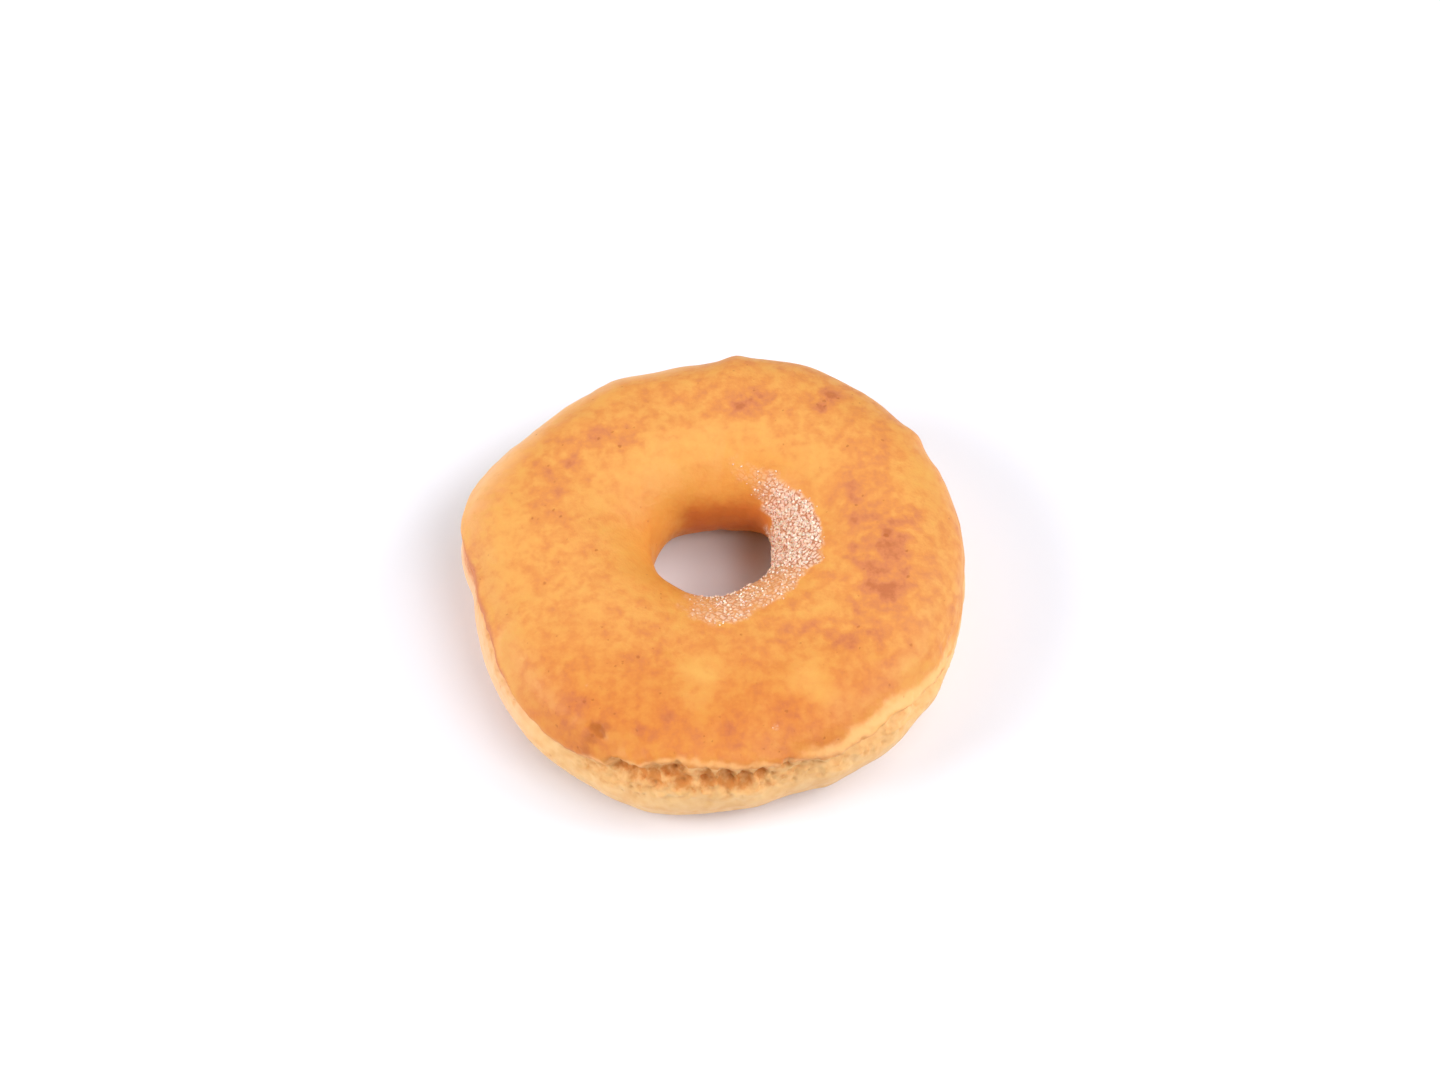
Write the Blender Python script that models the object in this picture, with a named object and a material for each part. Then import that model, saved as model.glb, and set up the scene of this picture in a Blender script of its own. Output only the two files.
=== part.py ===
# A raised ring doughnut, fried plain, lying flat on its underside.
# Metres, +Z up. The origin is at the middle of the underside. +X is the doughnut's
# right and -Y its front, where the browned top crust has torn away from the side.

import math

import bmesh
import bpy
from mathutils import Vector, noise

MM = 0.001

# The ring seen from above
EDGE_RADIUS = 45.7 * MM
NECK_RADIUS = 10.25 * MM
HOLE_CENTRE = Vector((0.0, 3.5 * MM))

# Waves round a loop: how many, how high, and the angle of a crest in degrees
EDGE_WAVES = (
    (2, 0.70 * MM, 55),
    (3, 0.65 * MM, 40),
    (4, 0.87 * MM, 65),
    (5, 0.25 * MM, 20),
    (7, 0.40 * MM, 11),
    (8, 0.15 * MM, 32),
)
NECK_WAVES = ((2, 0.75 * MM, 17), (3, 0.39 * MM, 47))

# Knobs and dents of each loop: angle, half its spread in degrees, and height
EDGE_KNOBS = (
    (3, 6.0, 0.4 * MM),
    (36, 3.0, 0.9 * MM),
    (57, 7.0, -0.4 * MM),
    (85, 3.0, 1.2 * MM),
    (94, 4.0, -0.3 * MM),
    (116, 6.0, 0.8 * MM),
    (183, 6.0, -0.8 * MM),
    (279, 4.0, 0.5 * MM),
    (297, 4.0, 0.4 * MM),
    (316, 6.0, 0.4 * MM),
    (329, 5.0, 0.6 * MM),
)
NECK_KNOBS = (
    (47, 18.0, 1.6 * MM),
    (128, 20.0, 0.9 * MM),
    (300, 20.0, -0.5 * MM),
    (343, 18.0, 0.6 * MM),
)

# The section of the ring, from the neck of the hole to the outer edge
HALF_HEIGHT = 12.2 * MM
OUTER_SQUARENESS = 3.0
INNER_SQUARENESS = 2.4
FRONT_SQUARENESS_GAIN = 0.35
RESTING_SQUASH = 0.7 * MM

# The seam where the top crust ends in a lip above the pale belt. A rise is an angle in
# the section, 0 at the equator and 90 on top. Each station is an angle round the ring,
# the seam's rise there, the depth of the groove under it and half the groove's spread.
SEAM_STATIONS = (
    (0, 6, 0.3 * MM, 7.0),
    (60, 14, 0.4 * MM, 6.0),
    (130, 16, 0.5 * MM, 5.0),
    (176, 23, 0.9 * MM, 4.0),
    (187, 25, 1.3 * MM, 4.0),
    (203, 28, 1.2 * MM, 4.5),
    (213, 22, 0.9 * MM, 4.5),
    (223, 19, 0.6 * MM, 5.0),
    (234, 17, 0.4 * MM, 5.0),
    (245, 22, 0.6 * MM, 7.0),
    (251, 31, 0.8 * MM, 8.0),
    (260, 38, 0.8 * MM, 10.0),
    (268, 36, 0.8 * MM, 10.0),
    (277, 33, 0.8 * MM, 10.0),
    (288, 24, 0.7 * MM, 8.0),
    (298, 18, 0.9 * MM, 6.0),
    (306, 22, 1.2 * MM, 6.0),
    (315, 24, 1.2 * MM, 6.0),
    (325, 14, 0.9 * MM, 6.0),
    (342, 3, 0.4 * MM, 6.0),
)
LIP_ABOVE_SEAM = 5.0
LIP_SPREAD = 5.0
LIP_SHARE = 0.6

# The pale belt bulges a little below the seam
BELT_RISE = -6
BELT_SPREAD = 12
BELT_BULGE = 0.5 * MM

# Torn hollows under the front lip: angle round the ring, rise, half length and half
# height on the crust, and depth
HOLLOWS = (
    (241.5, 43.5, 2.2 * MM, 1.1 * MM, 0.5 * MM),
    (248.5, 27, 2.3 * MM, 1.8 * MM, 1.8 * MM),
    (252.5, 24, 2.2 * MM, 2.0 * MM, 1.6 * MM),
    (256.5, 27, 1.7 * MM, 3.0 * MM, 1.3 * MM),
    (261.0, 33, 2.6 * MM, 2.0 * MM, 2.2 * MM),
    (263.0, 24, 2.2 * MM, 2.6 * MM, 1.4 * MM),
    (268.5, 26, 1.3 * MM, 2.9 * MM, 1.2 * MM),
    (272.5, 23, 1.9 * MM, 3.0 * MM, 1.9 * MM),
    (276.5, 20, 1.9 * MM, 2.8 * MM, 2.1 * MM),
    (280.5, 24, 1.6 * MM, 2.3 * MM, 1.8 * MM),
    (286.5, 27, 1.4 * MM, 1.3 * MM, 0.9 * MM),
)
HOLLOW_STEEPNESS = 0.7
RAGGEDNESS = 0.7 * MM
RAGGED_SIZE = 2.4 * MM
RAGGED_SEED = 3

# The rumpled stretch of the side, and the doughnut's own slow unevenness
RUMPLE_MIDDLE = 292
RUMPLE_HALF = 52
RUMPLE_RISE = 15
RUMPLE_SPREAD = 15
RUMPLE_HEIGHT = 0.55 * MM
RUMPLE_SIZE = 2.1 * MM
SWELL_HEIGHT = 0.75 * MM
SWELL_SIZE = 17.0 * MM
DIMPLE_HEIGHT = 0.22 * MM
DIMPLE_SIZE = 5.5 * MM

# Facets: the ring's steps, and the finer ones of the torn front
RING_STEPS = 104
SECTION_STEPS = 32
FINE_CUTS = 3
FINE_RING = (239, 293)
FINE_SECTION = (6, 54)

CRUST_COLOUR = (0.87, 0.40, 0.11, 1.0)
CRUST_ROUGHNESS = 0.55


def turn_between(angle, other):
    """The shortest turn from other to angle, in degrees."""
    return (angle - other + 180.0) % 360.0 - 180.0


def bell(distance, spread):
    """1 in the middle, falling smoothly to nearly 0 at twice the spread."""
    return math.exp(-((distance / spread) ** 2))


def plateau(distance, half):
    """1 inside the stretch, with soft ends, and 0 well outside it."""
    share = min(max((abs(distance) / half - 0.65) / 0.6, 0.0), 1.0)
    return 1.0 - share * share * (3.0 - 2.0 * share)


def loop_radius(radius, waves, knobs, angle):
    """A circle's radius at an angle, made uneven by waves and knobs."""
    for count, height, crest in waves:
        radius += height * math.cos(math.radians(count * (angle - crest)))
    for middle, spread, height in knobs:
        radius += height * bell(turn_between(angle, middle), spread)
    return radius


def edge_point(angle):
    """The outer edge of the ring, seen from above."""
    return loop_radius(EDGE_RADIUS, EDGE_WAVES, EDGE_KNOBS, angle) * direction(angle)


def neck_point(angle):
    """The narrowest line of the hole, seen from above."""
    radius = loop_radius(NECK_RADIUS, NECK_WAVES, NECK_KNOBS, angle)
    return HOLE_CENTRE + radius * direction(angle)


def direction(angle):
    return Vector((math.cos(math.radians(angle)), math.sin(math.radians(angle))))


def section_point(angle, rise):
    """A rise on the section, a round made squarer, as shares across and up.

    The wall of the hole turns into the top more gently at the back than at the front.
    """
    across, up = direction(rise)
    inner = INNER_SQUARENESS - FRONT_SQUARENESS_GAIN * direction(angle).y
    power = OUTER_SQUARENESS if across > 0.0 else inner
    reach = (abs(across) ** power + abs(up) ** power) ** (-1.0 / power)
    return across * reach, up * reach


def smooth_point(angle, rise):
    """The doughnut before any relief: angle round the ring, rise round the section."""
    across, up = section_point(angle, rise)
    plan = neck_point(angle).lerp(edge_point(angle), (across + 1.0) / 2.0)
    return Vector((plan.x, plan.y, HALF_HEIGHT * up))


def outward(angle, rise):
    """The direction that faces out of the smooth doughnut."""
    step = 0.5
    along = smooth_point(angle + step, rise) - smooth_point(angle - step, rise)
    round_section = smooth_point(angle, rise + step) - smooth_point(angle, rise - step)
    return along.cross(round_section).normalized()


def seam_station(angle):
    """The seam's rise, depth and spread at an angle round the ring."""
    before = SEAM_STATIONS[-1]
    for after in SEAM_STATIONS:
        if after[0] > angle % 360.0:
            break
        before = after
    else:
        after = SEAM_STATIONS[0]
    gap = (after[0] - before[0]) % 360.0
    share = (angle - before[0]) % 360.0 / gap
    share = share * share * (3.0 - 2.0 * share)
    return [low + (high - low) * share for low, high in zip(before[1:], after[1:])]


def seam_relief(angle, rise):
    """The groove under the crust's edge, with the lip that stands above it."""
    seam, depth, spread = seam_station(angle)
    groove = bell(turn_between(rise, seam - spread), spread)
    lip = bell(turn_between(rise, seam + LIP_ABOVE_SEAM), LIP_SPREAD)
    return depth * (LIP_SHARE * lip - groove)


def hollow_relief(point):
    """The torn hollows, each a bowl with a steep ragged rim."""
    ragged = point + RAGGEDNESS * noise.noise_vector(point / RAGGED_SIZE)
    depth = 0.0
    for angle, rise, half_length, half_height, full_depth in HOLLOWS:
        middle = smooth_point(angle, rise)
        along = (smooth_point(angle + 1, rise) - middle).normalized()
        away = ragged - middle
        length = away.dot(along)
        height = (away - length * along).length
        inside = 1.0 - (length / half_length) ** 2 - (height / half_height) ** 2
        if inside > 0.0:
            depth = max(depth, full_depth * inside ** HOLLOW_STEEPNESS)
    return -depth


def uneven_relief(point, angle, rise):
    """The slow swell of the dough, its dimples, and the rumpled side."""
    rumple_share = plateau(turn_between(angle, RUMPLE_MIDDLE), RUMPLE_HALF)
    rumple_share *= bell(turn_between(rise, RUMPLE_RISE), RUMPLE_SPREAD)
    return (
        SWELL_HEIGHT * noise.noise(point / SWELL_SIZE)
        + DIMPLE_HEIGHT * noise.noise(point / DIMPLE_SIZE)
        + RUMPLE_HEIGHT * rumple_share * noise.noise(point / RUMPLE_SIZE)
    )


def crust_point(angle, rise):
    """A point of the crust, with all its relief and the flat where it rests."""
    point = smooth_point(angle, rise)
    relief = seam_relief(angle, rise) + hollow_relief(point)
    relief += uneven_relief(point, angle, rise)
    relief += BELT_BULGE * bell(turn_between(rise, BELT_RISE), BELT_SPREAD)
    point += relief * outward(angle, rise)
    point.z = max(point.z + HALF_HEIGHT - RESTING_SQUASH, 0.0)
    return point


def clear_scene():
    for item in list(bpy.data.objects):
        bpy.data.objects.remove(item, do_unlink=True)


def crust_material():
    material = bpy.data.materials.new("fried_crust")
    material.use_nodes = True
    shader = material.node_tree.nodes["Principled BSDF"]
    shader.inputs["Base Color"].default_value = CRUST_COLOUR
    shader.inputs["Roughness"].default_value = CRUST_ROUGHNESS
    shader.inputs["Metallic"].default_value = 0.0
    return material


def torus_angles(co):
    """The angle round the ring and the rise round the section of a torus point."""
    angle = math.degrees(math.atan2(co.y, co.x))
    rise = math.degrees(math.atan2(co.z, math.hypot(co.x, co.y) - 1.0))
    return angle, rise


def in_fine_part(face):
    """True on the torn front, which gets smaller facets."""
    angle, rise = torus_angles(face.calc_center_median())
    return (
        FINE_RING[0] <= angle % 360.0 <= FINE_RING[1]
        and FINE_SECTION[0] <= rise <= FINE_SECTION[1]
    )


def shape_doughnut():
    """A torus whose points move to their places on the crust."""
    bpy.ops.mesh.primitive_torus_add(
        major_segments=RING_STEPS,
        minor_segments=SECTION_STEPS,
        major_radius=1.0,
        minor_radius=0.4,
    )
    doughnut = bpy.context.object
    doughnut.name = doughnut.data.name = "doughnut"
    ring = bmesh.new()
    ring.from_mesh(doughnut.data)
    fine_edges = {
        edge for face in ring.faces if in_fine_part(face) for edge in face.edges
    }
    bmesh.ops.subdivide_edges(
        ring, edges=list(fine_edges), cuts=FINE_CUTS, use_grid_fill=True
    )
    for vertex in ring.verts:
        vertex.co = crust_point(*torus_angles(vertex.co))
    centre_on_origin(ring)
    bmesh.ops.triangulate(ring, faces=ring.faces[:])
    bmesh.ops.recalc_face_normals(ring, faces=ring.faces[:])
    ring.to_mesh(doughnut.data)
    ring.free()
    doughnut.data.shade_smooth()
    return doughnut


def centre_on_origin(ring):
    """Moves the whole so that its footprint's middle is over the origin."""
    for axis in (0, 1):
        places = [vertex.co[axis] for vertex in ring.verts]
        middle = (min(places) + max(places)) / 2.0
        for vertex in ring.verts:
            vertex.co[axis] -= middle


def main():
    clear_scene()
    noise.seed_set(RAGGED_SEED)
    collection = bpy.data.collections.new("doughnut")
    bpy.context.scene.collection.children.link(collection)
    doughnut = shape_doughnut()
    for owner in list(doughnut.users_collection):
        owner.objects.unlink(doughnut)
    collection.objects.link(doughnut)
    doughnut.data.materials.append(crust_material())


main()
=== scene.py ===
import math

import bpy
import numpy as np
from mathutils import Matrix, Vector, noise


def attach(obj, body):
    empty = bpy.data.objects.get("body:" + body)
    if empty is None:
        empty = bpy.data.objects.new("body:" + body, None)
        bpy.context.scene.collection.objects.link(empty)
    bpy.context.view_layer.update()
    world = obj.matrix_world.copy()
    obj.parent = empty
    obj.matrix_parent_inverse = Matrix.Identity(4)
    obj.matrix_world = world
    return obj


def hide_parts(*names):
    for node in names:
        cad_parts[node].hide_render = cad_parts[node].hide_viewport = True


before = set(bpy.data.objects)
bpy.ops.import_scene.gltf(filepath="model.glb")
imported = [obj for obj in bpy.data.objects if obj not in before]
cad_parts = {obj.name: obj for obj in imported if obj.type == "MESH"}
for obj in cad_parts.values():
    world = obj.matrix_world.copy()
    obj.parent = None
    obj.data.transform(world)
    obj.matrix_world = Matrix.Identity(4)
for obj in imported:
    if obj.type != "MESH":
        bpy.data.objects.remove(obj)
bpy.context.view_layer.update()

mm = 0.001

# Lengths in the dictionaries are in millimetres, where they aren't multiplied by mm, and
# angles in degrees. An angle goes round the ring from its right side, and a rise goes
# round the section: 0 is the outer side, 90 the top, 180 the wall of the hole.


class Wire:
    # a socket of a node tree: sums, differences and products of wires add Math nodes

    def __init__(self, graph, socket):
        self.graph = graph
        self.socket = socket

    def maths(self, operation, *values):
        return self.graph.add("ShaderNodeMath", {"operation": operation}, dict(enumerate(values)))

    def __add__(self, other):
        return self.maths("ADD", self, other)

    def __sub__(self, other):
        return self.maths("SUBTRACT", self, other)

    def __rsub__(self, other):
        return self.maths("SUBTRACT", other, self)

    def __mul__(self, other):
        return self.maths("MULTIPLY", self, other)

    def __rtruediv__(self, other):
        return self.maths("DIVIDE", other, self)

    __radd__ = __add__

    def highest(self, other):
        return self.maths("MAXIMUM", self, other)

    def lowest(self, other):
        return self.maths("MINIMUM", self, other)

    def rampedFrom(self, low, high):
        # 0 at low and 1 at high, with soft ends
        return self.graph.add(
            "ShaderNodeMapRange",
            {"interpolation_type": "SMOOTHSTEP"},
            {"Value": self, "From Min": low, "From Max": high},
        )


class Graph:
    def __init__(self, tree):
        self.tree = tree

    def add(self, kind, settings=None, values=None, out=0):
        node = self.tree.nodes.new(kind)
        for name, value in (settings or {}).items():
            if name == "stops":
                ramp = node.color_ramp.elements
                while len(ramp) < len(value):
                    ramp.new(1.0)
                for stop, (place, colour) in zip(ramp, value):
                    stop.position = place
                    stop.color = colour
            else:
                setattr(node, name, value)
        for name, value in (values or {}).items():
            if isinstance(value, Wire):
                self.tree.links.new(value.socket, node.inputs[name])
            else:
                node.inputs[name].default_value = value
        return Wire(self, node.outputs[out])

    def cloud(self, where, size, detail=3.0, roughness=0.55, distortion=0.0):
        # noise about 0, mostly between -0.5 and 0.5
        cloudy = self.add(
            "ShaderNodeTexNoise",
            {},
            {
                "Vector": where,
                "Scale": 1.0 / size,
                "Detail": detail,
                "Roughness": roughness,
                "Distortion": distortion,
            },
        )
        return cloudy - 0.5

    def cells(self, where, size, out="Distance", feature="F1"):
        return self.add(
            "ShaderNodeTexVoronoi",
            {"feature": feature},
            {"Vector": where, "Scale": 1.0 / size},
            out,
        )

    def mixed(self, share, colour, other, blend="MIX"):
        return self.add(
            "ShaderNodeMix",
            {"data_type": "RGBA", "blend_type": blend},
            {0: share, 6: colour, 7: other},
            out=2,
        )

    def attribute(self, name):
        return self.add("ShaderNodeAttribute", {"attribute_name": name}, out="Fac")


def srgb(red, green, blue):
    # a colour as an eye-dropper reads it, made linear for a shader
    shares = [value / 255.0 for value in (red, green, blue)]
    linear = [s / 12.92 if s <= 0.04045 else ((s + 0.055) / 1.055) ** 2.4 for s in shares]
    return (*linear, 1.0)


def seen(red, green, blue, light=1.28, gloss=0.03):
    # the crust's own colour where the full light makes it look like this one
    linear = srgb(red, green, blue)[:3]
    return tuple(max(share - gloss, 0.0) / light for share in linear) + (1.0,)


def newMaterial(name, roughness, **sockets):
    material = bpy.data.materials.new(name)
    material.use_nodes = True
    shader = material.node_tree.nodes["Principled BSDF"]
    shader.inputs["Roughness"].default_value = roughness
    for label, value in sockets.items():
        shader.inputs[label.replace("_", " ")].default_value = value
    return material, shader, Graph(material.node_tree)


def link(graph, wire, socket):
    graph.tree.links.new(wire.socket, socket)


def geometryTree(name, numbers):
    # a Geometry Nodes tree with one named input for each number
    tree = bpy.data.node_groups.new(name, "GeometryNodeTree")
    tree.interface.new_socket("Geometry", in_out="INPUT", socket_type="NodeSocketGeometry")
    for label, value in numbers.items():
        kind = "NodeSocketInt" if isinstance(value, int) else "NodeSocketFloat"
        tree.interface.new_socket(label, in_out="INPUT", socket_type=kind)
    tree.interface.new_socket("Geometry", in_out="OUTPUT", socket_type="NodeSocketGeometry")
    graph = Graph(tree)
    entry = tree.nodes.new("NodeGroupInput")
    wires = {socket.name: Wire(graph, socket) for socket in entry.outputs if socket.name}
    return tree, graph, wires


def finishTree(graph, geometry, material):
    real = graph.add("GeometryNodeRealizeInstances", {}, {"Geometry": geometry})
    painted = graph.add("GeometryNodeSetMaterial", {}, {"Geometry": real, "Material": material})
    exitNode = graph.tree.nodes.new("NodeGroupOutput")
    graph.tree.links.new(painted.socket, exitNode.inputs[0])


def runTree(piece, tree, numbers):
    # runs the tree on the piece and keeps the result as its plain mesh
    modifier = piece.modifiers.new(tree.name, "NODES")
    modifier.node_group = tree
    for item in tree.interface.items_tree:
        if item.in_out == "INPUT" and item.name in numbers:
            modifier[item.identifier] = numbers[item.name]
    bpy.context.view_layer.update()
    shown = piece.evaluated_get(bpy.context.evaluated_depsgraph_get())
    plain = bpy.data.meshes.new_from_object(shown)
    piece.modifiers.remove(modifier)
    old = piece.data
    piece.data = plain
    plain.name = piece.name
    bpy.data.meshes.remove(old)
    return piece


def newPiece(name, mesh):
    piece = bpy.data.objects.new(name, mesh)
    bpy.context.scene.collection.objects.link(piece)
    return piece


# The camera, at the photograph's angle

cameraPlace = {
    "elevation": 56.0,
    "distance": 623.0,
    "target": (1.35, 7.25, 13.5),
    "lens": 85.0,
}


def makeCamera(place):
    elevation = math.radians(place["elevation"])
    back = Vector((0.0, -math.cos(elevation), math.sin(elevation)))
    data = bpy.data.cameras.new("photoCamera")
    data.lens = place["lens"]
    data.sensor_width = 36.0
    camera = bpy.data.objects.new("photoCamera", data)
    camera.location = (Vector(place["target"]) + back * place["distance"]) * mm
    camera.rotation_euler = (math.pi / 2 - elevation, 0.0, 0.0)
    bpy.context.scene.collection.objects.link(camera)
    bpy.context.scene.camera = camera


makeCamera(cameraPlace)
print("camera placed")

# The shape of the ring

ring = {
    "edgeRadius": 45.7,
    "edgeWaves": (  # how many, how high, and the angle of a crest
        (2, 0.70, 55),
        (3, 0.65, 40),
        (4, 0.87, 65),
        (5, 0.25, 20),
        (7, 0.40, 11),
        (8, 0.15, 32),
    ),
    "edgeKnobs": (  # angle, half its spread, height
        (3, 6.0, 0.4),
        (36, 3.0, 0.9),
        (57, 7.0, -0.4),
        (85, 3.0, 1.2),
        (94, 4.0, -0.3),
        (116, 6.0, 0.8),
        (183, 6.0, -0.8),
        (279, 4.0, 0.5),
        (297, 4.0, 0.4),
        (316, 6.0, 0.4),
        (329, 5.0, 0.6),
    ),
    "neckRadius": 10.25,
    "neckWaves": ((2, 0.75, 17), (3, 0.39, 47)),
    "neckKnobs": ((47, 18.0, 1.6), (128, 20.0, 0.9), (300, 20.0, -0.5), (343, 18.0, 0.6)),
    "holeCentre": (0.0, 3.5),
    "halfHeight": 12.2,
    "outerSquareness": 3.0,
    "innerSquareness": 2.4,
    "frontSquarenessGain": 0.35,
    "restingSquash": 0.7,
    "swell": (0.75, 17.0),  # height and size of each unevenness
    "dimple": (0.22, 5.5),
    "ringCrowds": ((266, 34, 1.4), (312, 25, 0.4)),  # where points lie closer together
    "sectionCrowds": ((24, 28, 1.0), (90, 60, 0.3)),
}

seam = {
    "stations": (  # angle, rise, depth of the groove, half its spread
        (0, 6, 0.3, 7.0),
        (60, 14, 0.4, 6.0),
        (130, 16, 0.5, 5.0),
        (176, 23, 0.9, 4.0),
        (187, 25, 1.3, 4.0),
        (203, 28, 1.2, 4.5),
        (213, 22, 0.9, 4.5),
        (223, 19, 0.6, 5.0),
        (234, 17, 0.4, 5.0),
        (245, 22, 0.6, 7.0),
        (251, 31, 0.8, 8.0),
        (260, 38, 0.8, 10.0),
        (268, 36, 0.8, 10.0),
        (277, 33, 0.8, 10.0),
        (288, 24, 0.7, 8.0),
        (298, 18, 0.9, 6.0),
        (306, 22, 1.2, 6.0),
        (315, 24, 1.2, 6.0),
        (325, 14, 0.9, 6.0),
        (342, 3, 0.4, 6.0),
    ),
    "lipAbove": 5.0,
    "lipSpread": 5.0,
    "lipShare": 0.6,
    "raggedness": ((2.4, 3.6), (1.2, 1.3)),  # degrees of rise, and size
    "raggedShift": 7.0,  # where its noise starts, so that it isn't the swell's
    "step": 0.25,  # how far the torn side stands back under the lip
    "stepRim": (-0.8, 1.4),  # degrees under the seam where it starts and is full
    "stepReach": 26.0,
    "stepStretches": ((266, 30), (312, 30), (199, 22)),  # middle angle, half length
    "beltRise": -6.0,
    "beltSpread": 12.0,
    "beltBulge": 0.5,
    "rumple": (0.55, 2.1),
    "rumpleStretch": (292, 52),
    "rumpleRise": (15, 15),
}

hollows = {
    "bowls": (  # angle, rise, half length, half height, depth
        (241.5, 43.5, 2.2, 1.1, 0.5),
        (248.5, 27, 2.3, 1.8, 1.8),
        (252.5, 24, 2.2, 2.0, 1.6),
        (256.5, 27, 1.7, 3.0, 1.3),
        (261.0, 33, 2.6, 2.0, 2.2),
        (263.0, 24, 2.2, 2.6, 1.4),
        (268.5, 26, 1.3, 2.9, 1.2),
        (272.5, 23, 1.9, 3.0, 1.9),
        (276.5, 20, 1.9, 2.8, 2.1),
        (280.5, 24, 1.6, 2.3, 1.8),
        (286.5, 27, 1.4, 1.3, 0.9),
    ),
    "steepness": 0.7,
    "raggedness": ((0.8, 2.4), (0.4, 1.1)),  # how far a rim strays, and size
    "seed": 3,  # the same seed as the part's own hollows
    "stretch": (236, 296),  # the stretch of the ring they are in
}

# Colour zones of the top as the photograph shows them, seen from above: middle, half
# length to the right and to the back, and how browned (above 0) or golden (below 0)
zones = (
    (5.5, 31.3, 5.4, 3.6, 0.95),
    (20.4, 31.8, 2.6, 2.6, 0.85),
    (-19.6, 22.3, 5.0, 3.0, 0.75),
    (-28.2, 16.3, 3.4, 3.6, 0.65),
    (-30.8, 9.0, 3.8, 4.5, 0.45),
    (28.8, 18.7, 3.2, 6.0, 0.65),
    (24.8, 10.1, 2.8, 6.5, 0.60),
    (30.8, 0.4, 6.0, 6.0, 0.95),
    (30.8, -10.4, 5.5, 5.0, 0.95),
    (24.8, -19.1, 5.5, 3.5, 0.50),
    (14.7, -17.7, 5.0, 3.0, 0.45),
    (-11.5, -26.4, 3.0, 3.0, 0.45),
    (-25.6, -26.4, 2.0, 3.2, 0.40),
    (-25.1, -33.0, 2.4, 2.4, 0.70),
    (-21.6, -38.8, 3.2, 1.6, 0.80),
    (-8.6, -37.5, 4.6, 3.5, 0.45),
    (10.7, -37.5, 7.3, 3.6, 0.55),
    (26.8, -31.0, 2.5, 2.5, 0.15),
    (36.5, -28.0, 3.5, 4.5, -0.60),
    (29.0, -34.0, 4.0, 2.6, -0.45),
    (31.0, -4.0, 5.0, 8.0, 0.25),
    (-9.5, 16.3, 8.0, 5.0, -0.90),
    (0.6, 22.3, 7.5, 3.0, -0.70),
    (-21.6, 9.0, 2.8, 2.6, -0.70),
    (-15.5, -2.0, 3.7, 7.0, -0.50),
    (14.7, 18.7, 7.0, 4.0, -0.40),
    (36.9, 17.0, 3.6, 6.0, -0.50),
    (38.9, 7.0, 2.7, 8.0, -0.35),
    (-2.5, -26.4, 3.3, 3.3, -0.85),
    (-3.0, -33.0, 4.0, 2.6, -0.40),
    (2.0, -40.5, 6.0, 2.0, 0.35),
    (16.8, -30.0, 3.7, 4.0, -0.75),
    (19.8, -13.1, 2.8, 1.8, -0.50),
    (-37.7, 0.0, 4.5, 13.0, -0.45),
    (-36.8, -26.8, 3.0, 6.0, -0.60),
)

sugarAndSheenPatch = {
    # seen from above, round the hole's centre: angle, inner and outer radius, amount of sugar and
    # of the painted sheen on its film
    "stations": (
        (-122, 11.0, 17.8, 0.00),
        (-112, 11.0, 18.3, 0.22),
        (-100, 10.5, 19.9, 0.42),
        (-84, 10.0, 20.9, 0.56),
        (-62, 9.5, 19.0, 0.50),
        (-43, 9.0, 19.2, 0.48),
        (-28, 9.0, 18.6, 0.60),
        (-20, 9.0, 19.6, 0.95),
        (-5, 9.0, 19.0, 1.00),
        (11, 10.0, 18.9, 1.00),
        (27, 11.2, 17.8, 0.95),
        (38, 12.5, 17.4, 0.90),
        (49, 13.3, 17.2, 0.60),
        (64, 13.6, 17.0, 0.30),
        (77, 14.0, 17.8, 0.24),
        (86, 14.5, 17.0, 0.00),
    ),
    "edge": 0.9,
    "stray": (1.6, 2.6, 3.0),  # how far the inner edge strays, size, where the noise starts
    "outerStray": 0.6,  # the outer edge's share of that
    "heights": (6.0, 12.0),  # heights of the crust where sugar starts and is full
    "fleckGlints": ((10.5, -37.8, 0.8), (-22.5, -29.9, 0.6)),  # stray grains, each with a painted glint: middle and size
    "fleckGlintAmount": 0.34,
}

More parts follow.
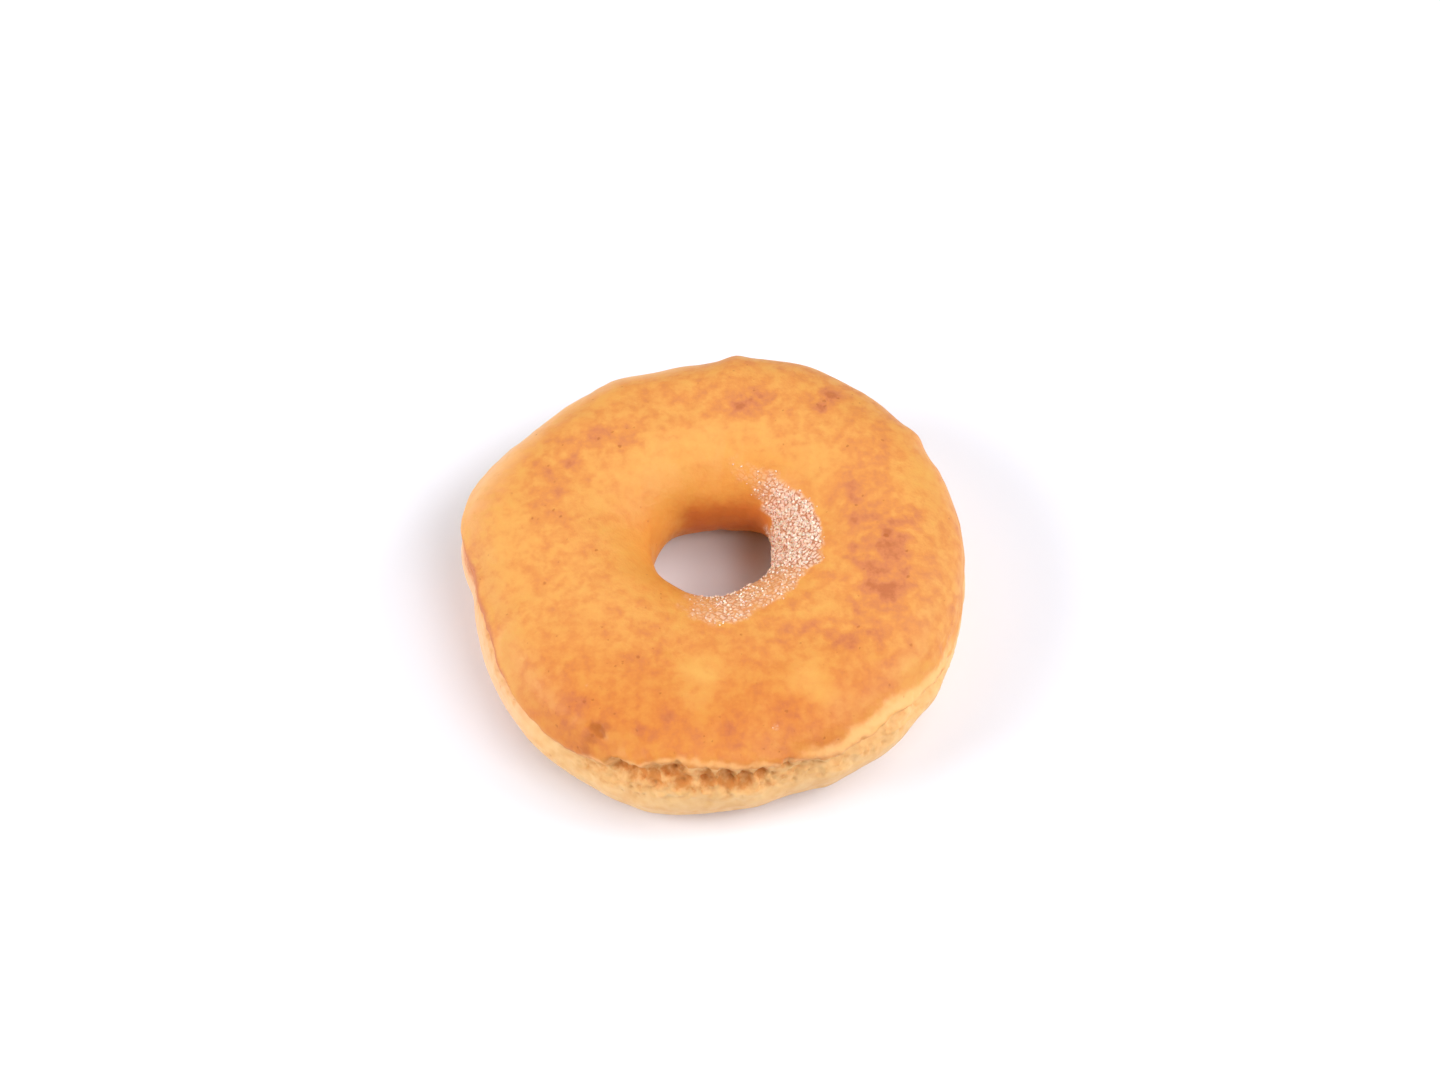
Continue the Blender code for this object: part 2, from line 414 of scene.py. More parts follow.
# Where the tones of the crust lie. A stretch is an angle and half its length, a band is
# a rise over the seam and half its spread, and the pairs without a note are where a tone
# starts and where it is full
tones = {
    "zoneStray": ((2.6, 7.0), (1.0, 2.3)),  # how far the zones' rims stray, and size
    "upwardHeights": (11.0, 17.0),
    "topRises": (9.0, 13.0),  # over the seam
    "deepFront": (12.0, 36.0),  # in front of the middle
    "deepLeast": 0.2,  # what the most golden zone leaves of the deeper tone
    "paleRises": (12.0, 52.0),  # over the seam, where the pale edge, mostly painted light, starts and ends
    # painted light: the pale edge is strongest round this angle, the upper left, where the light
    # falls
    "paleAngle": 130.0,
    "paleCosines": (0.6, 0.95),  # of the angle away from there
    "paleLeast": 0.2,  # what the rest of the ring has of it
    "paleInmost": 95.0,  # the rise where it is cut off
    "sideMiddle": 0.3,  # over the seam, the middle of the rim between top and belt
    "sideFades": (1.3, 3.2),  # half that rim where the side is torn, and what is added elsewhere
    "sideInmost": 100.0,
    "sideUnder": (36.0, 58.0),  # under the belt, where the browned underside starts
    "crumbBand": (-12.0, 11.0),
    "rumpleCrumb": 0.7,
    "ridgesAndLipHighlight": (  # amount, stretch, band
        # the first is the pale ridge's own colour, the second a painted highlight along the edge
        # of the front lip
        (1.0, (316.0, 26.0), (8.5, 6.4)),
        (0.7, (265.0, 28.0), (2.6, 2.4)),
    ),
    "tear": ((265.0, 23.0), (-11.0, 11.0)),
    "crease": (1.0, (196.0, 21.0), (4.4, 3.2)),
    "creaseTail": (0.9, (181.0, 9.0), (-8.0, 12.0)),
    "leftBelt": (193.0, 30.0),
    "innerRises": (104.0, 146.0),
    # painted shade on the far wall of the hole: its rises and its stretch
    "shadedWellRises": (144.0, 172.0),
    "shadedWellStretch": (78.0, 50.0),
    "pitDepth": 0.5,  # the depth at which a hollow on the top is as brown as it gets
    "shallowPit": (-21.6, -38.8, 2.8, 1.4, 0.8),  # seen from above: middle, half lengths, amount
}

plateauEnds = (0.65, 1.25)  # where a plateau starts to fall and has fallen, in half lengths


def turnBetween(angle, other):
    return (angle - other + 180.0) % 360.0 - 180.0


def bell(distance, spread):
    return np.exp(-((distance / spread) ** 2))


def softStep(value, low, high):
    share = np.clip((value - low) / (high - low), 0.0, 1.0)
    return share * share * (3.0 - 2.0 * share)


def plateau(distance, half):
    return 1.0 - softStep(np.abs(distance) / half, *plateauEnds)


def alongStretch(angle, stretch):
    middle, half = stretch
    return plateau(turnBetween(angle, middle), half)


def inBand(above, band):
    middle, spread = band
    return bell(above - middle, spread)


def loopRadius(radius, waves, knobs, angle):
    # a circle made uneven by waves and knobs
    for count, height, crest in waves:
        radius = radius + height * np.cos(np.radians(count * (angle - crest)))
    for middle, spread, height in knobs:
        radius = radius + height * bell(turnBetween(angle, middle), spread)
    return radius


def noiseAt(points, size, shift=0.0):
    return np.array([noise.noise(Vector(p) / size + Vector((shift,) * 3)) for p in points])


def noiseVectorAt(points, size):
    return np.array([noise.noise_vector(Vector(p) / size) for p in points])


def smoothPoints(angle, rise):
    # the ring before any relief, from the neck of the hole to the outer edge
    cosine, sine = np.cos(np.radians(rise)), np.sin(np.radians(rise))
    turn = np.radians(angle)
    inner = ring["innerSquareness"] - ring["frontSquarenessGain"] * np.sin(turn)
    power = np.where(cosine > 0.0, ring["outerSquareness"], inner)
    reach = (np.abs(cosine) ** power + np.abs(sine) ** power) ** (-1.0 / power)
    share = (cosine * reach + 1.0) / 2.0
    edge = loopRadius(ring["edgeRadius"], ring["edgeWaves"], ring["edgeKnobs"], angle)
    neck = loopRadius(ring["neckRadius"], ring["neckWaves"], ring["neckKnobs"], angle)
    radius = neck + (edge - neck) * share
    return np.stack(
        (
            radius * np.cos(turn) + ring["holeCentre"][0] * (1.0 - share),
            radius * np.sin(turn) + ring["holeCentre"][1] * (1.0 - share),
            ring["halfHeight"] * sine * reach,
        ),
        axis=-1,
    )


def outwardAt(angle, rise):
    step = 0.5  # degrees to either side
    along = smoothPoints(angle + step, rise) - smoothPoints(angle - step, rise)
    across = smoothPoints(angle, rise + step) - smoothPoints(angle, rise - step)
    normal = np.cross(along, across)
    return normal / np.linalg.norm(normal, axis=-1, keepdims=True)


def betweenStations(stations, angle):
    # each station's numbers at every angle, passing softly from one station to the next
    ends = [(stations[-1][0] - 360.0,) + tuple(stations[-1][1:])]
    starts = [(stations[0][0] + 360.0,) + tuple(stations[0][1:])]
    rows = np.array(ends + [tuple(row) for row in stations] + starts, float)
    turned = (angle - stations[0][0]) % 360.0 + stations[0][0]
    place = np.clip(np.searchsorted(rows[:, 0], turned, side="right") - 1, 0, len(rows) - 2)
    before, after = rows[place], rows[place + 1]
    share = softStep(turned, before[:, 0], after[:, 0])[:, None]
    return (before[:, 1:] + (after[:, 1:] - before[:, 1:]) * share).T


def crowded(angle, crowds):
    # moves even angles closer together in each crowd: middle, spread, how much
    fine = np.arange(0.0, 360.0, 0.25)
    weight = np.ones_like(fine)
    for middle, spread, gain in crowds:
        weight += gain * bell(turnBetween(fine, middle), spread)
    place = np.concatenate(([0.0], np.cumsum(weight)))
    place *= 360.0 / place[-1]
    return np.interp(angle % 360.0, place, np.concatenate((fine, [360.0])))


def hollowDepth(points, angle):
    depth = np.zeros(len(points))
    first, last = hollows["stretch"]
    near = np.nonzero((angle % 360.0 > first) & (angle % 360.0 < last))[0]
    ragged = points[near].copy()
    for stray, size in hollows["raggedness"]:
        ragged += stray * noiseVectorAt(points[near], size)
    for middleAngle, middleRise, halfLength, halfHeight, deepest in hollows["bowls"]:
        ends = np.array((middleAngle, middleAngle + 1.0))
        middle, beside = smoothPoints(ends, np.array((middleRise, middleRise), float))
        along = (beside - middle) / np.linalg.norm(beside - middle)
        away = ragged - middle
        length = away @ along
        height = np.linalg.norm(away - length[:, None] * along, axis=1)
        inside = 1.0 - (length / halfLength) ** 2 - (height / halfHeight) ** 2
        bowl = deepest * np.clip(inside, 0.0, None) ** hollows["steepness"]
        depth[near] = np.maximum(depth[near], bowl)
    return depth


def crustPoints(angle, rise):
    # every point of the crust in millimetres, and what its material has to know there
    points = smoothPoints(angle, rise)
    seamRise, depth, spread = betweenStations(seam["stations"], angle)
    for degrees, size in seam["raggedness"]:
        seamRise = seamRise + degrees * noiseAt(points, size, seam["raggedShift"])
    above = turnBetween(rise, seamRise)
    groove = bell(above + spread, spread)
    lip = bell(above - seam["lipAbove"], seam["lipSpread"])
    relief = depth * (seam["lipShare"] * lip - groove)
    torn = sum(alongStretch(angle, stretch) for stretch in seam["stepStretches"])
    torn = np.clip(torn, 0.0, 1.0)
    under = softStep(-above, *seam["stepRim"])
    relief -= seam["step"] * torn * under * bell(above, seam["stepReach"])
    bowls = hollowDepth(points, angle)
    relief -= bowls
    relief += seam["beltBulge"] * bell(turnBetween(rise, seam["beltRise"]), seam["beltSpread"])
    for height, size in (ring["swell"], ring["dimple"]):
        relief += height * noiseAt(points, size)
    rumple = alongStretch(angle, seam["rumpleStretch"])
    rumple *= bell(turnBetween(rise, seam["rumpleRise"][0]), seam["rumpleRise"][1])
    relief += seam["rumple"][0] * rumple * noiseAt(points, seam["rumple"][1])
    placed = points + relief[:, None] * outwardAt(angle, rise)
    placed[:, 2] = np.maximum(placed[:, 2] + ring["halfHeight"] - ring["restingSquash"], 0.0)
    masks = crustMasks(placed, angle, rise, above, torn, bowls, rumple)
    return placed, masks


def zoneBrowning(strayed):
    browned = np.zeros(len(strayed))
    for right, back, halfRight, halfBack, amount in zones:
        far = ((strayed[:, 0] - right) / halfRight) ** 2
        far = far + ((strayed[:, 1] - back) / halfBack) ** 2
        browned += amount * np.exp(-far)
    return browned


def sugarAndSheenAmount(placed):
    # how thick the sugar lies and how bright the painted sheen on its film, from the stations
    # round the hole and the stray flecks
    away = placed[:, :2] - ring["holeCentre"]
    radius = np.linalg.norm(away, axis=1)
    turn = np.degrees(np.arctan2(away[:, 1], away[:, 0]))
    inner, outer, amount = betweenStations(sugarAndSheenPatch["stations"], turn)
    farthest, size, shift = sugarAndSheenPatch["stray"]
    stray = farthest * noiseAt(placed, size, shift)
    outerStray = sugarAndSheenPatch["outerStray"] * stray
    edge = sugarAndSheenPatch["edge"]
    patch = softStep(radius + stray, inner - edge, inner + edge)
    patch *= 1.0 - softStep(radius + outerStray, outer - edge, outer + edge)
    patch *= amount
    for right, back, size in sugarAndSheenPatch["fleckGlints"]:
        distance = np.hypot(placed[:, 0] - right, placed[:, 1] - back)
        patch += sugarAndSheenPatch["fleckGlintAmount"] * bell(distance, size)
    return patch * softStep(placed[:, 2], *sugarAndSheenPatch["heights"])


def sideShare(rise, above, torn):
    # 1 on the pale side of the ring, 0 on its top, in the hole and below
    turned = turnBetween(rise, 0.0)
    tornFade, moreFade = tones["sideFades"]
    fade = tornFade + moreFade * (1.0 - torn)
    side = 1.0 - softStep(above, tones["sideMiddle"] - fade, tones["sideMiddle"] + fade)
    side = np.where(np.abs(turned) > tones["sideInmost"], 0.0, side)
    return side * (1.0 - softStep(-turned, *tones["sideUnder"]))


def crustMasks(placed, angle, rise, above, torn, bowls, rumple):
    # what the material has to know at each point, from 0 to about 1
    flat = placed * (1.0, 1.0, 0.0)
    strayed = flat
    for farthest, size in tones["zoneStray"]:
        strayed = strayed + farthest * noiseVectorAt(flat, size)
    browned = zoneBrowning(strayed)
    upward = softStep(placed[:, 2], *tones["upwardHeights"])
    onTop = softStep(above, *tones["topRises"])
    inwards = np.abs(turnBetween(rise, 0.0))
    least = tones["paleLeast"]
    facing = np.cos(np.radians(angle - tones["paleAngle"]))
    paleLitShare = least + (1.0 - least) * softStep(facing, *tones["paleCosines"])
    pale = (1.0 - softStep(above, *tones["paleRises"])) * paleLitShare
    crumb = torn * inBand(above, tones["crumbBand"]) + tones["rumpleCrumb"] * rumple
    tearStretch, (tearMiddle, tearHalf) = tones["tear"]
    amount, stretch, band = tones["crease"]
    crease = amount * alongStretch(angle, stretch) * inBand(above, band)
    amount, (middle, spread), band = tones["creaseTail"]
    crease = crease + amount * bell(turnBetween(angle, middle), spread) * inBand(above, band)
    right, back, halfRight, halfBack, pitAmount = tones["shallowPit"]
    pitAway = np.hypot((strayed[:, 0] - right) / halfRight, (strayed[:, 1] - back) / halfBack)
    frontShare = softStep(-placed[:, 1], *tones["deepFront"])
    return {
        "browned": browned * upward,
        "deep": frontShare * upward * np.clip(1.0 + browned, tones["deepLeast"], 1.0),
        "edgePale": pale * (inwards < tones["paleInmost"]),
        "side": sideShare(rise, above, torn),
        "torn": np.clip(bowls, 0.0, 1.0) * (1.0 - onTop),
        "crumb": np.clip(crumb, 0.0, 1.0),
        "ridge": sum(
            amount * alongStretch(angle, stretch) * inBand(above, band)
            for amount, stretch, band in tones["ridgesAndLipHighlight"]
        ),
        "tear": alongStretch(angle, tearStretch) * plateau(above - tearMiddle, tearHalf),
        "crease": crease,
        "leftBelt": alongStretch(angle, tones["leftBelt"]),
        "sugar": sugarAndSheenAmount(placed),
        "inner": softStep(inwards, *tones["innerRises"]),
        "well": softStep(inwards, *tones["shadedWellRises"])
        * alongStretch(angle, tones["shadedWellStretch"]),
        "pit": np.clip(bowls / tones["pitDepth"], 0.0, 1.0) * onTop
        + pitAmount * bell(pitAway, 1.0),
    }


def moveRing(piece):
    mesh = piece.data
    count = len(mesh.vertices)
    places = np.empty(count * 3)
    mesh.vertices.foreach_get("co", places)
    places = places.reshape(-1, 3)
    major = np.degrees(np.arctan2(places[:, 1], places[:, 0]))
    outwards = np.hypot(places[:, 0], places[:, 1]) - torus["ringRadius"]
    minor = np.degrees(np.arctan2(places[:, 2], outwards))
    angle = crowded(major, ring["ringCrowds"])
    rise = crowded(minor, ring["sectionCrowds"])
    placed, masks = crustPoints(angle, rise)
    for axis in (0, 1):
        placed[:, axis] -= (placed[:, axis].min() + placed[:, axis].max()) / 2.0
    mesh.vertices.foreach_set("co", (placed * mm).ravel())
    for name, values in masks.items():
        layer = mesh.attributes.new(name, "FLOAT", "POINT")
        layer.data.foreach_set("value", values.astype(np.float32))
    mesh.update()


# The crust's finish

crustLook = {
    "golden": seen(253, 190, 106),
    "light": seen(252, 179, 101),
    "middle": seen(246, 164, 94),
    "browned": seen(231, 146, 99),
    "dark": seen(212, 128, 86),
    "deepTint": (0.92, 0.77, 0.58, 1.0),
    # painted light on the outer edge, most of all on the upper left
    "edge": seen(253, 198, 138, 0.98),
    "hole": seen(232, 155, 76, 1.08),
    # the pale ridge's colour, also used for a painted highlight along the front lip
    "ridge": seen(252, 193, 128, 1.04),
    "beltLight": srgb(238, 194, 134),
    "beltDark": srgb(227, 171, 106),
    "crumbLight": srgb(232, 180, 116),
    "crumbDark": srgb(212, 138, 68),
    "leftBelt": srgb(250, 192, 146),
    "crease": srgb(204, 124, 76),
    # painted shade on the far wall of the hole
    "well": seen(220, 128, 72, 1.1),
    "pit": seen(204, 120, 64),
    # painted reflection of the lamps on the crinkled film under the sugar, bright and dim, with
    # darker gaps between the crinkles
    "speck": seen(196, 112, 62),
    "filmSheen": seen(248, 208, 187, 1.06),
    "sheenGap": seen(194, 128, 102, 1.06),
    "dimSheen": seen(252, 202, 162, 1.15),
    "dimSheenGap": seen(241, 168, 118, 1.15),
    "patchSize": 3.4,
    "patchHeat": 1.9,
    "mottleSize": 1.7,
    "mottleHeat": 1.05,
    "grainSize": 0.55,
    "grainHeat": 0.7,
    "blotches": 0.6,  # how much the browned zones break up
    "heatBase": 1.0,  # added to the heat, which the gain then brings to between 0 and 1
    "heatGain": 0.4,
    # each share: its wires and how much of each, what is added, where it starts and is full
    "shares": {
        "pit": ({"pit": 1.0, "mottle": 0.8}, 0.0, 0.0, 1.1),
        "well": ({"well": 1.0, "mottle": 0.7}, 0.0, 0.0, 1.1),
        "beltTone": ({"patches": 1.2, "mottle": 0.7}, 0.4, 0.0, 1.0),
        "side": ({"side": 1.0, "mottle": 0.7}, 0.0, 0.3, 0.75),
        "crumbTone": (
            {"mottle": 1.8, "grain": 0.8, "torn": 0.4, "tear": 0.25}, 0.12, 0.0, 1.0
        ),
        "crumb": ({"crumb": 0.6, "torn": 1.0, "tear": 1.0, "mottle": 0.6}, 0.0, 0.2, 0.9),
        "ridge": ({"ridge": 1.0, "mottle": 0.8}, 0.0, 0.1, 1.05),
        "crease": ({"crease": 1.0, "grain": 0.6}, 0.0, 0.1, 1.0),
        # painted reflection: where the sheen on the film is bright and how far it covers
        "brightSheen": ({"sugar": 1.0, "mottle": 0.3}, 0.0, 0.35, 0.9),
        "filmSheen": ({"sugar": 1.3, "mottle": 0.6}, 0.0, 0.15, 0.75),
    },
    # how much of a tone shows where its share is 1
    "cover": {"edge": 0.9, "pit": 0.9, "hole": 0.6, "well": 0.9, "leftBelt": 0.8, "filmSheen": 0.85},
    "paleBase": 0.9,  # the pale edge's share before the mottle
    "paleRim": (0.1, 1.0),  # where it starts and is full, as for the other rims
    "speckSize": 1.3,
    "speckRarity": 0.76,
    "speckBrowned": 0.25,  # how many more in browned zones and in patches
    "speckPatches": 0.5,
    "speckGain": 0.8,
    "speckRim": (-0.06, 0.12),
    "speckCover": 0.55,
    "speckSideLoss": 0.3,
    "cellBend": 0.7,
    "crinkleSize": 0.95,
    "crinkleStray": 0.3,
    "crinkleRim": (0.02, 0.22),
    "roughness": 0.5,
    "roughMottle": 0.25,
    "roughTorn": 0.2,
    "roughFilm": 0.12,
    "bump": 0.10,
    "grainBump": 0.6,
    "mottleBump": 0.8,
    "speckBump": 0.5,
    "filmBump": 0.9,
}

maskNames = (
    "browned", "deep", "edgePale", "side", "torn", "tear", "crumb", "ridge", "crease",
    "leftBelt", "sugar", "inner", "well", "pit",
)


def crustMaterial(look):
    material, shader, graph = newMaterial(
        "fried crust",
        look["roughness"],
        Subsurface_Weight=0.12,
        Subsurface_Scale=0.002,
        Subsurface_Radius=(1.0, 0.45, 0.2),
        Specular_IOR_Level=0.28,
    )
    where = graph.add("ShaderNodeTexCoord", out="Object")
    patches = graph.cloud(where, look["patchSize"] * mm, 2.0, 0.5, distortion=0.3)
    mottle = graph.cloud(where, look["mottleSize"] * mm, 2.0, 0.5)
    grain = graph.cloud(where, look["grainSize"] * mm, 2.0)
    wires = {name: graph.attribute(name) for name in maskNames}
    wires.update(patches=patches, mottle=mottle, grain=grain)
    cover = look["cover"]

    def shareOf(name):
        weights, added, low, high = look["shares"][name]
        parts = [
            wires[part] if weight == 1.0 else wires[part] * weight
            for part, weight in weights.items()
        ]
        total = sum(parts[1:], parts[0])
        if added:
            total = total + added
        return total.rampedFrom(low, high)

    # the browned top, pale at its outer edge with painted light that is strongest on the upper
    # left, and orange down into the hole
    broken = 1.0 + (patches + mottle) * look["blotches"]
    heat = wires["browned"] * broken + patches * look["patchHeat"]
    heat = heat + mottle * look["mottleHeat"] + grain * look["grainHeat"]
    top = graph.add(
        "ShaderNodeValToRGB",
        {
            "stops": (
                (0.0, look["golden"]),
                (0.3, look["light"]),
                (0.5, look["middle"]),
                (0.78, look["browned"]),
                (1.0, look["dark"]),
            )
        },
        {"Fac": (heat + look["heatBase"]) * look["heatGain"]},
    )
    top = graph.mixed(wires["deep"], top, look["deepTint"], "MULTIPLY")
    paleLitShare = (wires["edgePale"] * (look["paleBase"] + mottle)).rampedFrom(*look["paleRim"])
    top = graph.mixed(paleLitShare * cover["edge"], top, look["edge"])
    top = graph.mixed(shareOf("pit") * cover["pit"], top, look["pit"])
    top = graph.mixed(wires["inner"] * cover["hole"], top, look["hole"])
    # painted shade: the far wall of the hole is darker and redder where it lies in shadow
    top = graph.mixed(shareOf("well") * cover["well"], top, look["well"])

    # the pale side, with the torn crumb, the pale ridge over it and a painted highlight along the
    # front lip, and the crease on the left
    belt = graph.mixed(shareOf("beltTone"), look["beltLight"], look["beltDark"])
    belt = graph.mixed(wires["leftBelt"] * cover["leftBelt"], belt, look["leftBelt"])
    colour = graph.mixed(shareOf("side"), top, belt)
    crumb = graph.mixed(shareOf("crumbTone"), look["crumbLight"], look["crumbDark"])
    crumbShare = shareOf("crumb") * wires["side"].highest(wires["torn"])
    colour = graph.mixed(crumbShare, colour, crumb)
    colour = graph.mixed(shareOf("ridge"), colour, look["ridge"])
    colour = graph.mixed(shareOf("crease"), colour, look["crease"])

    # small soft specks of overcooked flour, one in some of the cells
    bend = graph.add(
        "ShaderNodeCombineXYZ", {}, {"X": grain * look["cellBend"] * mm, "Y": mottle * mm}
    )
    bent = graph.add("ShaderNodeVectorMath", {"operation": "ADD"}, {0: where, 1: bend})
    distance, chance = (
        graph.cells(bent, look["speckSize"] * mm, out) for out in ("Distance", "Color")
    )
    chance = graph.add("ShaderNodeSeparateColor", {}, {0: chance})
    chance = chance + wires["browned"] * look["speckBrowned"] + patches * look["speckPatches"]
    size = (chance - look["speckRarity"]) * look["speckGain"]
    specks = (size - distance).rampedFrom(*look["speckRim"]) * (1.0 - wires["sugar"])
    speckCover = look["speckCover"] - wires["side"] * look["speckSideLoss"]
    colour = graph.mixed(specks * speckCover, colour, look["speck"])

    # the thin crinkled film under the sugar, its pale pink-white a painted reflection of the lamps
    # on its crinkles
    crinkle = graph.cells(bent, look["crinkleSize"] * mm, feature="DISTANCE_TO_EDGE")
    net = (crinkle + grain * look["crinkleStray"]).rampedFrom(*look["crinkleRim"])
    filmSheen = graph.mixed(
        shareOf("brightSheen"),
        graph.mixed(net, look["dimSheenGap"], look["dimSheen"]),
        graph.mixed(net, look["sheenGap"], look["filmSheen"]),
    )
    sheenShare = shareOf("filmSheen")
    colour = graph.mixed(sheenShare * cover["filmSheen"], colour, filmSheen)
    link(graph, colour, shader.inputs["Base Color"])

    rough = look["roughness"] + mottle * look["roughMottle"] + wires["torn"] * look["roughTorn"]
    link(graph, rough - sheenShare * look["roughFilm"], shader.inputs["Roughness"])
    height = grain * look["grainBump"] + mottle * look["mottleBump"] - specks * look["speckBump"]
    bumped = graph.add(
        "ShaderNodeBump",
        {},
        {
            "Height": height + net * sheenShare * look["filmBump"],
            "Distance": look["bump"] * mm,
            "Strength": 1.0,
        },
        out="Normal",
    )
    link(graph, bumped, shader.inputs["Normal"])
    return material


crustFinish = crustMaterial(crustLook)

torus = {"ringSteps": 440, "sectionSteps": 206, "ringRadius": 1.0, "sectionRadius": 0.4}


def torusTree(numbers, material):
    # a section swept round a circle
    tree, graph, wires = geometryTree("plain torus", numbers)
    path, section = (
        graph.add(
            "GeometryNodeCurvePrimitiveCircle",
            {},
            {"Resolution": wires[part + "Steps"], "Radius": wires[part + "Radius"]},
        )
        for part in ("ring", "section")
    )
    tube = graph.add("GeometryNodeCurveToMesh", {}, {"Curve": path, "Profile Curve": section})
    finishTree(graph, tube, material)
    return tree


def makeRing():
    piece = newPiece("crust", bpy.data.meshes.new("crust"))
    runTree(piece, torusTree(torus, crustFinish), torus)
    moveRing(piece)
    piece.data.shade_smooth()
    return piece


noise.seed_set(hollows["seed"])
crust = makeRing()
print("ring shaped,", len(crust.data.polygons), "faces")

# Fine relief of the crust: wrinkles, low blisters, pores and the crumb of the torn side

skin = {
    "wrinkleSize": 2.2 * mm,
    "wrinkleHeight": 0.10 * mm,
    "blisterSize": 4.2 * mm,
    "blisterHeight": 0.16 * mm,
    "blisterRadius": 0.45,  # in cells
    "blisterRarity": 0.55,
    "blisterGain": 6.0,
    "poreSize": 1.3 * mm,
    "poreDepth": 0.45 * mm,
    "poreRadius": 0.42,  # in cells
    "poreRim": 0.3,
    "crumbSize": 1.1 * mm,
    "crumbHeight": 0.55 * mm,
    "restingHeight": 0.4 * mm,  # up to here the crust stays as it is, flat on the floor
}


def skinTree(numbers, material):
    tree, graph, wires = geometryTree("crust skin", numbers)
    where = graph.add("GeometryNodeInputPosition")

    def mask(name):
        return graph.add("GeometryNodeInputNamedAttribute", {"data_type": "FLOAT"}, {"Name": name})

    def relief(kind, detail):
        # noise from minus to plus the kind's height
        swelling = graph.cloud(where, wires[kind + "Size"], detail, 0.5)
        return swelling * wires[kind + "Height"] * 2.0

    crumbly = (mask("crumb") + mask("torn")).lowest(1.0)
    wrinkles = relief("wrinkle", 4.0)
    chance = graph.add(
        "FunctionNodeSeparateColor", {}, {0: graph.cells(where, wires["blisterSize"], "Color")}
    )
    dome = (wires["blisterRadius"] - graph.cells(where, wires["blisterSize"])).highest(0.0)
    blister = dome * (chance - wires["blisterRarity"]).highest(0.0)
    blisters = blister * wires["blisterHeight"] * wires["blisterGain"] * (1.0 - crumbly)
    pore = wires["poreRadius"] - graph.cells(where, wires["poreSize"])
    pore = pore.rampedFrom(0.0, wires["poreRim"]) * wires["poreDepth"]
    crumb = relief("crumb", 3.0)
    height = wrinkles + blisters + (crumb - pore) * crumbly
    normal = graph.add("GeometryNodeInputNormal")
    offset = graph.add(
        "ShaderNodeVectorMath", {"operation": "SCALE"}, {"Vector": normal, "Scale": height}
    )
    lifted = graph.add(
        "FunctionNodeCompare",
        {"data_type": "FLOAT", "operation": "GREATER_THAN"},
        {
            0: graph.add("ShaderNodeSeparateXYZ", {}, {"Vector": where}, out="Z"),
            1: wires["restingHeight"],
        },
    )
    moved = graph.add(
        "GeometryNodeSetPosition",
        {},
        {"Geometry": wires["Geometry"], "Selection": lifted, "Offset": offset},
    )
    finishTree(graph, moved, material)
    return tree


runTree(crust, skinTree(skin, crustFinish), skin)
print("skin relief,", len(crust.data.vertices), "points")

# Sugar left on the crust by the hole

sugar = {
    "density": 3.4,  # grains per square millimetre where the patch is fullest
    "seed": 11,
    "smallest": 0.26 * mm,
    "largest": 0.62 * mm,
    "thinning": 0.6,  # how much smaller the grains are where the patch is thin
}

grainShape = {
    "least": (0.55, 0.7, 0.8),  # the least and the most of a grain's three lengths
    "most": (0.9, 1.0, 1.1),
    "fullTurn": 6.283,
}

perSquareMetre = 1e6  # square millimetres in one square metre

sugarLook = {
    "white": srgb(251, 226, 208),
    "pink": srgb(240, 192, 166),
    "size": 0.5 * mm,
    "pinkRim": (0.3, 0.7),
}


def sugarMaterial(look):
    material, shader, graph = newMaterial(
        "sugar", 0.22, Subsurface_Weight=0.3, Subsurface_Scale=0.0008, IOR=1.54
    )
    where = graph.add("ShaderNodeTexCoord", out="Object")
    share = (graph.cloud(where, look["size"], 1.0) + 0.5).rampedFrom(*look["pinkRim"])
    colour = graph.mixed(share, look["pink"], look["white"])
    link(graph, colour, shader.inputs["Base Color"])
    return material


def grainTree(numbers, shapes, material):
    tree, graph, wires = geometryTree("sugar grains", numbers)
    patch = graph.add("GeometryNodeInputNamedAttribute", {"data_type": "FLOAT"}, {"Name": "sugar"})
    points = graph.add(
        "GeometryNodeDistributePointsOnFaces",
        {},
        {
            "Mesh": wires["Geometry"],
            "Density": patch * patch * wires["density"] * perSquareMetre,
            "Seed": wires["seed"],
        },
        out="Points",
    )
    crystal = graph.add("GeometryNodeMeshCube", {}, {"Size": (1.0, 1.0, 1.0)})
    turn = graph.add(
        "FunctionNodeRandomValue",
        {"data_type": "FLOAT_VECTOR"},
        {"Min": (0.0, 0.0, 0.0), "Max": (shapes["fullTurn"],) * 3, "Seed": wires["seed"] + 1},
    )
    size = graph.add(
        "FunctionNodeRandomValue",
        {"data_type": "FLOAT"},
        {2: wires["smallest"], 3: wires["largest"], "Seed": wires["seed"] + 2},
        out=1,
    )
    shape = graph.add(
        "FunctionNodeRandomValue",
        {"data_type": "FLOAT_VECTOR"},
        {"Min": shapes["least"], "Max": shapes["most"], "Seed": wires["seed"] + 3},
    )
    scale = graph.add(
        "ShaderNodeVectorMath", {"operation": "SCALE"}, {"Vector": shape, "Scale": size}
    )
    smaller = graph.add(
        "ShaderNodeVectorMath",
        {"operation": "SCALE"},
        {"Vector": scale, "Scale": patch * wires["thinning"] + (1.0 - wires["thinning"])},
    )
    spread = graph.add(
        "GeometryNodeInstanceOnPoints",
        {},
        {"Points": points, "Instance": crystal, "Rotation": turn, "Scale": smaller},
    )
    finishTree(graph, spread, material)
    return tree


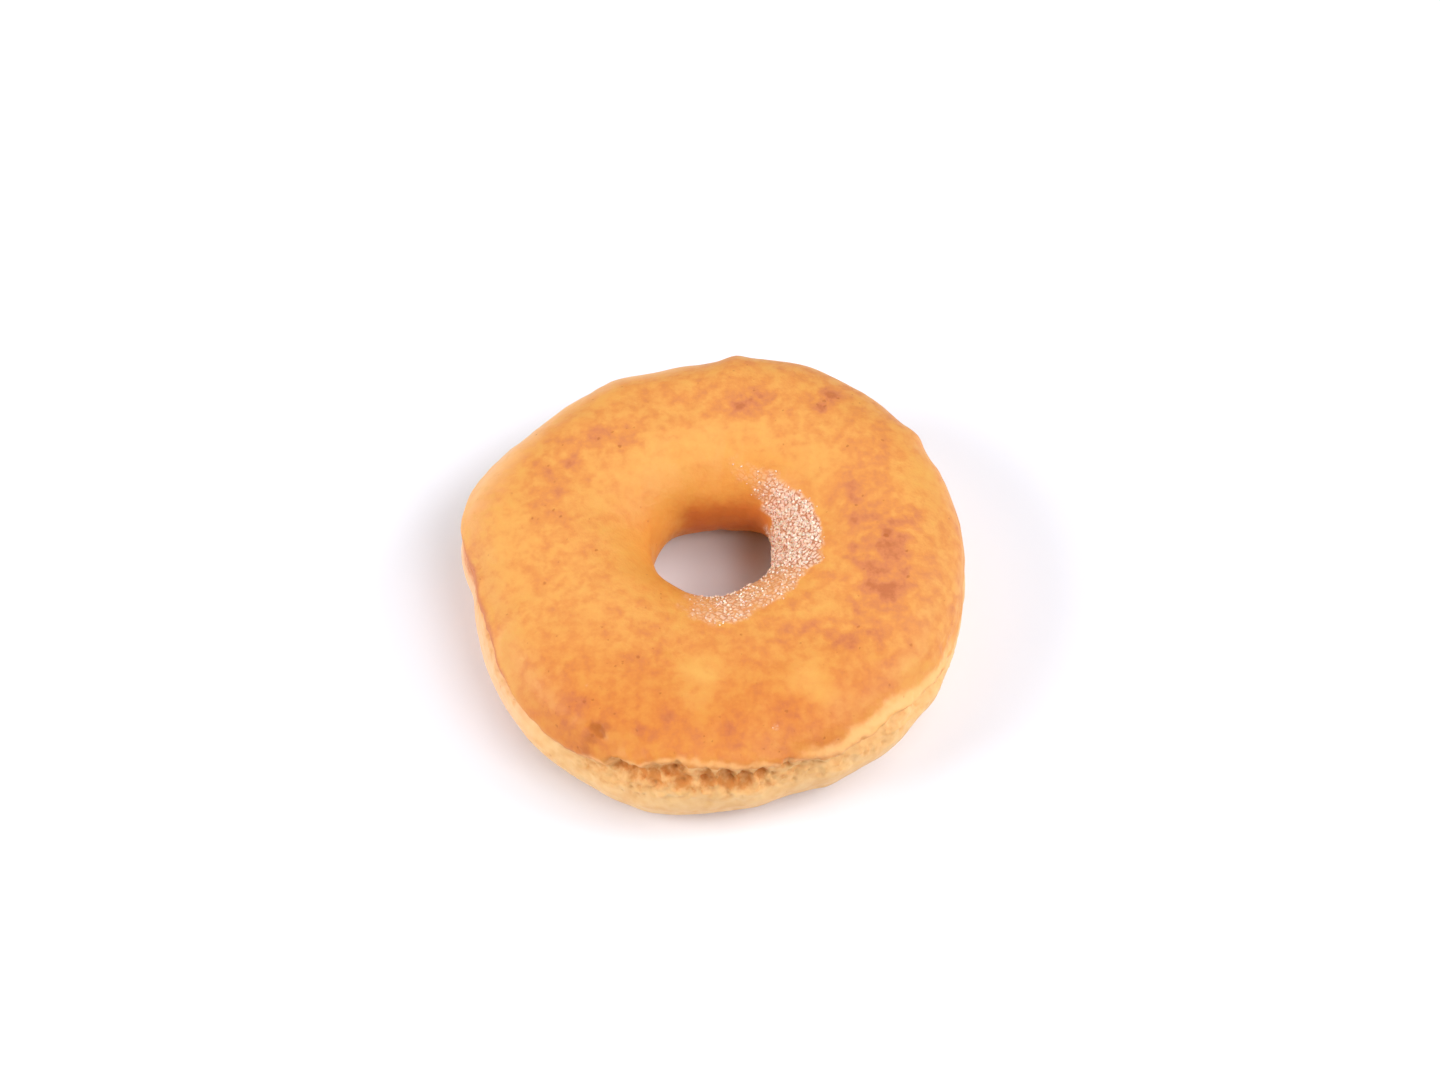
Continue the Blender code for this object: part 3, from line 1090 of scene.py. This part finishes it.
grains = newPiece("sugarGrains", crust.data.copy())
runTree(grains, grainTree(sugar, grainShape, sugarMaterial(sugarLook)), sugar)
print("sugar,", len(grains.data.polygons), "faces")

# Floor and light

studio = {
    "floorSize": 6.0,  # this and the lights' size and distance in metres
    "floorColour": (0.862, 0.865, 0.927, 1.0),
    "floorRoughness": 0.7,
    "sky": 0.01,
    "lightDistance": 2.5,
    "lightSize": 1.4,
    "lights": (  # name, azimuth it comes from, elevation, power
        ("leftLight", 190.0, 30.0, 51.0),
        ("rightLight", 5.0, 35.0, 34.0),
        ("frontRightLight", 315.0, 50.0, 31.0),
        ("backLeftLight", 140.0, 55.0, 6.5),
        ("backLight", 95.0, 50.0, 4.5),
        ("topLight", 20.0, 68.0, 14.0),
        ("frontLight", 262.0, 22.0, 3.6),
    ),
}


def makeLight(numbers, name, azimuth, elevation, power):
    turn, climb = math.radians(azimuth), math.radians(elevation)
    towards = Vector(
        (math.cos(turn) * math.cos(climb), math.sin(turn) * math.cos(climb), math.sin(climb))
    )
    data = bpy.data.lights.new(name, "AREA")
    data.energy = power
    data.size = numbers["lightSize"]
    lamp = bpy.data.objects.new(name, data)
    lamp.location = towards * numbers["lightDistance"]
    lamp.rotation_euler = (-towards).to_track_quat("-Z", "Y").to_euler()
    bpy.context.scene.collection.objects.link(lamp)


def makeStudio(numbers):
    material = newMaterial(
        "pale floor",
        numbers["floorRoughness"],
        Base_Color=numbers["floorColour"],
        Specular_IOR_Level=0.2,
    )[0]
    bpy.ops.mesh.primitive_plane_add(size=numbers["floorSize"])
    floor = bpy.context.object
    floor.name = "floor"
    floor.data.materials.append(material)
    world = bpy.data.worlds.new("soft sky")
    world.use_nodes = True
    background = world.node_tree.nodes["Background"]
    background.inputs["Color"].default_value = (1.0, 1.0, 1.0, 1.0)
    background.inputs["Strength"].default_value = numbers["sky"]
    bpy.context.scene.world = world
    for light in numbers["lights"]:
        makeLight(numbers, *light)
    bpy.context.scene.view_settings.view_transform = "Standard"


makeStudio(studio)
print("studio lit")

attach(crust, "root")
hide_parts("doughnut")
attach(grains, "root")
